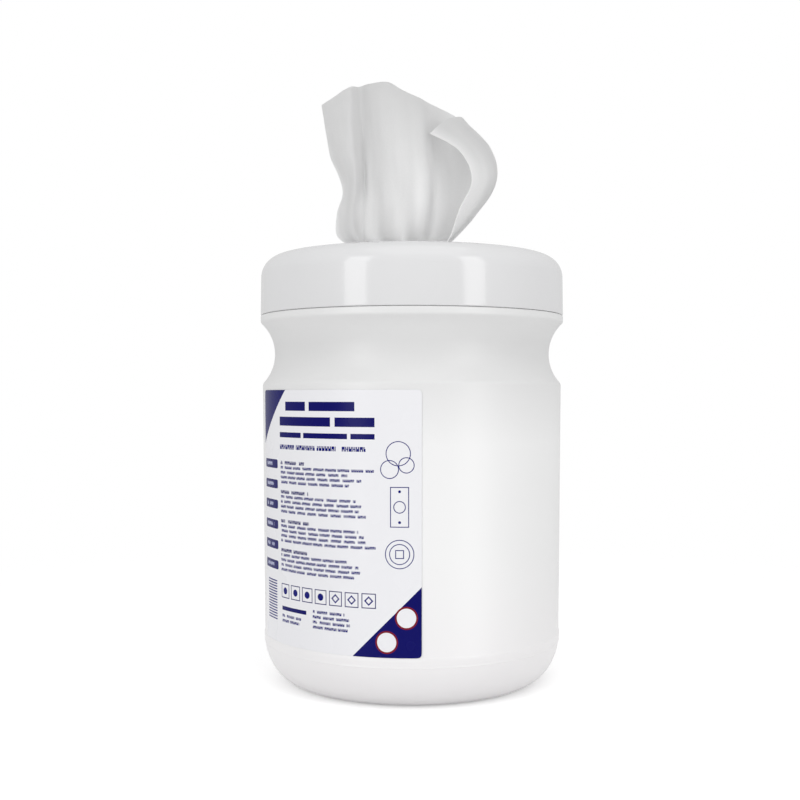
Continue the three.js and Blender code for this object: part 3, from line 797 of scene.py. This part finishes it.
def addHingeEars(material):
    c = capSizes
    outer = c["pinRadius"] + c["pinGap"] + c["earWall"]
    for side in (-1, 1):
        middle = side * (c["barrelLength"] / 2 + c["earGap"] + c["earWidth"] / 2)
        ear = addRod("hingeEar.left" if side < 0 else "hingeEar.right", outer, c["earWidth"],
                     middle, hingeY, hingeZ)
        # the lower half is drawn down square, into the lid's top
        belowMiddle = 0.05
        for vertex in ear.data.vertices:
            if vertex.co.z < (hingeZ - belowMiddle) * mm:
                vertex.co.y = (hingeY + math.copysign(outer, vertex.co.y / mm - hingeY)) * mm
                vertex.co.z = (lidTop - c["earSink"]) * mm
        activate(ear)
        bpy.ops.object.mode_set(mode="EDIT")
        bpy.ops.mesh.select_all(action="SELECT")
        bpy.ops.mesh.remove_doubles(threshold=weldGap)
        bpy.ops.mesh.normals_make_consistent(inside=False)
        bpy.ops.object.mode_set(mode="OBJECT")
        hole = addRod("pinHole", c["pinRadius"] + c["pinGap"], c["earWidth"] * 2,
                      middle, hingeY, hingeZ)
        cutWith(ear, [hole])
        breakEdges(ear, c["edge"])
        dress(ear, material, "lid")


# The flip cap is built shut and then laid back about its hinge.
def addFlipCap(material):
    c = capSizes
    foot = hingeZ - c["barrelRadius"]
    head = foot + c["thickness"]
    plug = lidSizes["wellRadius"] - c["plugGap"]
    plugFoot = foot - c["seatGap"] - c["plugDepth"]
    plugInner = plug - c["plugWall"]
    e = c["edgeRound"]
    outline = [(0, foot), (c["footRing"], foot), (plugInner, foot),
               (plugInner, plugFoot + c["plugEdge"]), (plugInner + c["plugEdge"], plugFoot),
               (plug - c["plugRound"], plugFoot), (plug, plugFoot + c["plugRound"]),
               (plug, foot), (plateRadius - c["footEdge"], foot),
               (plateRadius, foot + c["footEdge"])]
    outline += arc(plateRadius - e, head - e, e, 0, math.pi / 2, 6)
    outline += [(c["headRing"], head), (0, head)]
    plate = turned("flipCap", outline, 112)

    deselect()
    lipLength = c["lipReach"] + c["overlap"]
    thick = c["thickness"] - c["edgeRound"]
    bpy.ops.mesh.primitive_cube_add(size=1, location=(0, 0, 0))
    lip = bpy.context.object
    lip.name = "thumbLip"
    centre = Vector((0, -plateRadius - c["lipReach"] + lipLength / 2, foot + thick / 2)) * mm
    size = (c["lipWidth"] * mm, lipLength * mm, thick * mm)
    lip.data.transform(Matrix.Translation(centre) @ Matrix.Diagonal((*size, 1)))
    applyModifier(lip, "BEVEL", "edges", width=c["lipRound"] * mm, segments=4)
    smooth(35)

    # the barrel's front is drawn out into the web that carries it on the plate
    barrel = addRod("hingeBarrel", c["barrelRadius"], c["barrelLength"], 0, hingeY, hingeZ, 48)
    for vertex in barrel.data.vertices:
        if vertex.co.y < (hingeY - c["webFrom"]) * mm:
            reach = (hingeY - vertex.co.y / mm) / c["barrelRadius"]
            vertex.co.y = (hingeY - reach * (c["setback"] + c["webBite"])) * mm
    breakEdges(barrel, c["barrelEdge"])
    pins = addRod("hingePins", c["pinRadius"],
                  c["barrelLength"] + 2 * (c["earGap"] + c["earWidth"]), 0, hingeY, hingeZ)
    breakEdges(pins, c["edge"])

    hinge = Vector((0, hingeY, hingeZ)) * mm
    layBack = (Matrix.Translation(hinge) @ Matrix.Rotation(-math.radians(c["open"]), 4, "X")
               @ Matrix.Translation(-hinge))
    for piece in (plate, lip, barrel, pins):
        piece.data.transform(layBack)
    dress(plate, material, "flip_cap", "flip_cap")
    for piece in (lip, barrel, pins):
        dress(piece, material, "flip_cap")


# Drawn wipe. Its width, length and thickness are metres.
wipeSizes = {"width": 0.130, "length": 0.200, "thickness": 0.00035, "columns": 180, "rows": 66,
             "tailRows": 34, "pleats": 13, "gather": 6.7, "tail": 4.2, "coreGap": 0.6,
             "thinnest": 0.8, "collarSpread": 0.7, "collarShift": -0.4, "flareShare": 0.28,
             "flareHeight": 1.8, "foldKept": (0.9, 0.3, 0.1), "wrinkle": 0.3,
             "broadRuffle": 0.11, "fineRuffle": 0.27, "fineShare": 0.4, "ruffleFrom": 4,
             "ruffleRise": 30, "seed": 7}

# Each line is (x, y, height over the lid) at five levels, from the sheet's left edge to its
# right one.
wipeLines = [
    [(-31.3, 3, 8.5), (-32.7, 3, 19), (-30, 2, 30), (-35.6, 2, 46), (-39.1, 1, 66.6)],
    [(-27, -2, 8), (-29.5, -3, 19), (-27.5, -4, 31), (-31.5, -3, 48), (-33.5, -2, 69.4)],
    [(-23, -5, 8), (-25, -6, 19), (-24, -7, 32), (-26, -6, 50), (-27, -4, 73.2)],
    [(-19.5, -0.5, 8), (-20.5, 0, 19), (-20.5, 0.5, 32), (-21, 0, 50), (-22.5, -1, 74)],
    [(-14, -6, 8), (-15, -7, 19), (-15.5, -7, 33), (-16, -6, 51), (-17.5, -4, 74.6)],
    [(-7, -8, 8), (-7, -9.5, 20), (-8, -9.5, 34), (-9.5, -8, 53), (-10.5, -4, 75.3)],
    [(-1, -7, 8), (0, -9, 20), (0, -9.5, 34), (-1.5, -7, 53), (-3.4, -2, 72)],
    [(4, -5, 8), (6.5, -7, 19), (7, -8, 33), (5.5, -5, 51), (4, 0, 69.3)],
    [(7.5, -1, 8), (10.5, -1, 18), (11.5, 0, 32), (10, 1, 50), (10, 3, 66.8)],
    [(13, 3, 8), (18, 4, 18), (20, 5, 32), (18, 6, 50), (17.5, 6, 64)],
    [(17, 5, 8), (24, 7, 18), (30, 7, 32), (27, 7, 50), (23, 4, 60)],
    [(17.8, 2, 8.6), (28.5, 2, 20), (36.7, 0, 34), (33.5, 0, 48.5), (21, -1, 61)],
    [(17, -2, 8.6), (26, -5, 19.6), (32.5, -7, 33), (27.5, -7, 46), (14.5, -5, 58.8)],
    [(16, -4, 8), (20, -7.5, 19.4), (25.5, -9.5, 32.5), (20.5, -9, 44.5), (7.8, -7.5, 52.6)],
]


# A smooth curve through the points, at a share of its run.
def through(points, share):
    spans = len(points) - 1
    at = min(max(share, 0), 1) * spans
    first = min(int(at), spans - 1)
    t = at - first
    a = points[max(first - 1, 0)]
    b = points[first]
    c = points[first + 1]
    d = points[min(first + 2, spans)]
    return (b * 2 + (c - a) * t + (a * 2 - b * 5 + c * 4 - d) * t * t
            + (b * 3 - a - c * 3 + d) * t ** 3) * 0.5


def pleatPoint(share, radius, height, middle):
    wave = math.sin(math.pi * wipeSizes["pleats"] * share)
    side = radius * (2 * share - 1)
    reach = math.sqrt(max(radius ** 2 - side ** 2, wipeSizes["thinnest"]))
    return Vector((side + middle[0], reach * wave + middle[1], height))


def wipeColumn(share):
    s = wipeSizes
    levels = [through([Vector(point) for point in crossing], share)
              for crossing in zip(*wipeLines)]
    depth = lidSizes["wellDepth"]
    neck = pleatPoint(share, s["gather"], -depth, (0, 0))
    collar = pleatPoint(share, s["gather"] + s["collarSpread"], -depth / 2,
                        (s["collarShift"], 0))
    flare = collar.lerp(levels[0], s["flareShare"])
    flare.z = s["flareHeight"]
    # the pleats fade out over the lowest levels
    fold = math.sin(math.pi * s["pleats"] * share)
    for level, kept in enumerate(s["foldKept"]):
        levels[level] += Vector((0, kept * fold, 0))
    return [neck, collar, flare] + levels


def addWipe():
    s = wipeSizes
    coreSide = rollSizes["core"] - s["coreGap"] - s["tail"]
    # height over the lid, radius and middle of the gathered tail
    tailLevels = [(-114, s["tail"], (coreSide, 0)), (-80, s["tail"], (coreSide, 0)),
                  (-44, s["tail"] * 1.15, (coreSide * 0.5, -1.5)),
                  (-14, s["gather"], (0.3, 0)), (-lidSizes["wellDepth"], s["gather"], (0, 0))]
    columns = s["columns"]
    rows = []
    for row in range(s["tailRows"]):
        share = row / s["tailRows"]
        height = through([Vector((level[0], level[1], 0)) for level in tailLevels], share)
        middle = through([Vector((*level[2], 0)) for level in tailLevels], share)
        rows.append([pleatPoint(i / columns, height.y, height.x, (middle.x, middle.y))
                     for i in range(columns + 1)])
    fans = [wipeColumn(i / columns) for i in range(columns + 1)]
    for row in range(s["rows"] + 1):
        rows.append([through(fan, row / s["rows"]) for fan in fans])
    deselect()
    bpy.ops.mesh.primitive_grid_add(x_subdivisions=columns, y_subdivisions=len(rows) - 1,
                                    size=1)
    piece = bpy.context.object
    piece.name = "drawnWipe"
    lift = Vector((0, 0, lidTop))
    # without a seed the ruffles differ from run to run
    noise.seed_set(s["seed"])
    for vertex in piece.data.vertices:
        column = round((vertex.co.x + 0.5) * columns)
        row = round((vertex.co.y + 0.5) * (len(rows) - 1))
        place = rows[row][column]
        free = min(max((place.z - s["ruffleFrom"]) / s["ruffleRise"], 0), 1)
        ruffle = (noise.noise_vector(place * s["broadRuffle"])
                  + noise.noise_vector(place * s["fineRuffle"]) * s["fineShare"])
        vertex.co = (place + ruffle * s["wrinkle"] * free + lift) * mm
    applyModifier(piece, "SOLIDIFY", "sheet", thickness=s["thickness"], offset=0)
    smooth(75)
    dress(piece, makeCloth(), "wipe", "wipe")
    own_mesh(piece)


# Stage
def addFloor():
    stage = {"width": 1.2, "colour": (0.86, 0.86, 0.86, 1), "lift": 0.33, "fadeFrom": 0.16,
             "fadeTo": 0.42}
    finish = Finish("paleFloor")
    x, y = finish.axes(finish.objectPlace())[:2]
    away = (x * x + y * y).root().between(stage["fadeFrom"], stage["fadeTo"])
    rays = finish.tree.nodes.new("ShaderNodeLightPath")
    sight = Wire(finish, rays.outputs["Is Camera Ray"]).larger(
        Wire(finish, rays.outputs["Is Glossy Ray"]))
    matt = finish.node("ShaderNodeBsdfDiffuse", None, Color=stage["colour"])
    glow = finish.node("ShaderNodeEmission", None, Color=(1, 1, 1, 1),
                       Strength=sight * stage["lift"])
    both = finish.node("ShaderNodeAddShader", None, matt, glow)
    clear = finish.node("ShaderNodeBsdfTransparent", None, Color=(1, 1, 1, 1))
    faded = finish.node("ShaderNodeMixShader", None, away, both, clear)
    deselect()
    bpy.ops.mesh.primitive_plane_add(size=stage["width"], location=(0, 0, 0))
    floor = bpy.context.object
    floor.name = "floor"
    floor.data.materials.append(finish.finishWith(faded))


# The room lights the tub at one strength, and looks white where the camera sees it.
def addRoom():
    room = {"strength": 0.71, "seenStrength": 1.0}
    world = bpy.data.worlds.new("paleRoom")
    bpy.context.scene.world = world
    world.use_nodes = True
    tree = world.node_tree
    tree.nodes.clear()
    path = tree.nodes.new("ShaderNodeLightPath")
    seenBy = tree.nodes.new("ShaderNodeMath")
    seenBy.operation = "MAXIMUM"
    tree.links.new(path.outputs["Is Camera Ray"], seenBy.inputs[0])
    tree.links.new(path.outputs["Is Transmission Ray"], seenBy.inputs[1])
    mix = tree.nodes.new("ShaderNodeMixShader")
    tree.links.new(seenBy.outputs[0], mix.inputs[0])
    for index, strength in enumerate((room["strength"], room["seenStrength"])):
        background = tree.nodes.new("ShaderNodeBackground")
        background.inputs["Color"].default_value = (1, 1, 1, 1)
        background.inputs["Strength"].default_value = strength
        tree.links.new(background.outputs[0], mix.inputs[index + 1])
    output = tree.nodes.new("ShaderNodeOutputWorld")
    tree.links.new(mix.outputs[0], output.inputs[0])


def addLamp(name, azimuth, distance, height, wide, tall, power):
    target = (0, 0, 0.12)
    angle = math.radians(azimuth)
    place = Vector((math.sin(angle) * distance, -math.cos(angle) * distance, height))
    data = bpy.data.lights.new(name, "AREA")
    data.shape = "RECTANGLE"
    data.size, data.size_y = wide, tall
    data.energy = power
    lamp = bpy.data.objects.new(name, data)
    bpy.context.scene.collection.objects.link(lamp)
    lamp.location = place
    lamp.rotation_euler = (Vector(target) - place).to_track_quat("-Z", "Y").to_euler()


def addLamps():
    addLamp("leftStrip", azimuth=-40, distance=0.9, height=0.32, wide=0.27, tall=0.9, power=2.25)
    addLamp("rightStrip", azimuth=45, distance=0.9, height=0.32, wide=0.26, tall=0.9, power=2.15)
    addLamp("topPanel", azimuth=10, distance=0.35, height=1.1, wide=0.9, tall=0.9, power=1.5)


def addCamera():
    view = {"lens": 51.86, "sensor": 36, "distance": 0.5, "height": 0.1207,
            "shiftX": -0.0148, "shiftY": -0.0045}
    data = bpy.data.cameras.new("photoView")
    data.lens = view["lens"]
    data.sensor_width = view["sensor"]
    data.shift_x = view["shiftX"]
    data.shift_y = view["shiftY"]
    camera = bpy.data.objects.new("photoView", data)
    bpy.context.scene.collection.objects.link(camera)
    camera.location = (0, -view["distance"], view["height"])
    camera.rotation_euler = (math.pi / 2, 0, 0)
    bpy.context.scene.camera = camera


bpy.context.scene.view_settings.view_transform = "Standard"
addCamera()
addFloor()
addRoom()
addLamps()
print("stage, lamps and camera made")

blownPlastic = makeBlownPlastic()
lidPlastic = makeLidPlastic()
print("plastics made")

tubShell = turned("tubShell", tubOutline(), 144)
dress(tubShell, blownPlastic, "tub", "tub")
addPinchRib(blownPlastic)
threadStart = tubSizes["beadTop"] + threadSizes["rise"]
addThread("neckThread", tubSizes["neckRadius"], 1, threadStart, blownPlastic,
          "tub")
print("tub made")

addLabel()
addRoll()
print("label and roll made")

lidShell = turned("lidShell", lidOutline(), 144)
dress(lidShell, lidPlastic, "lid", "lid")
spacing = (threadSizes["rootWidth"] + threadSizes["crestWidth"]) / 2 + threadSizes["flankGap"]
addThread("lidThread", tubSizes["neckRadius"] + lidSizes["neckGap"], -1, threadStart - spacing,
          lidPlastic, "lid")
addPetals(lidPlastic)
addHingeEars(lidPlastic)
addFlipCap(lidPlastic)
print("lid and flip cap made")

addWipe()
print("wipe made")
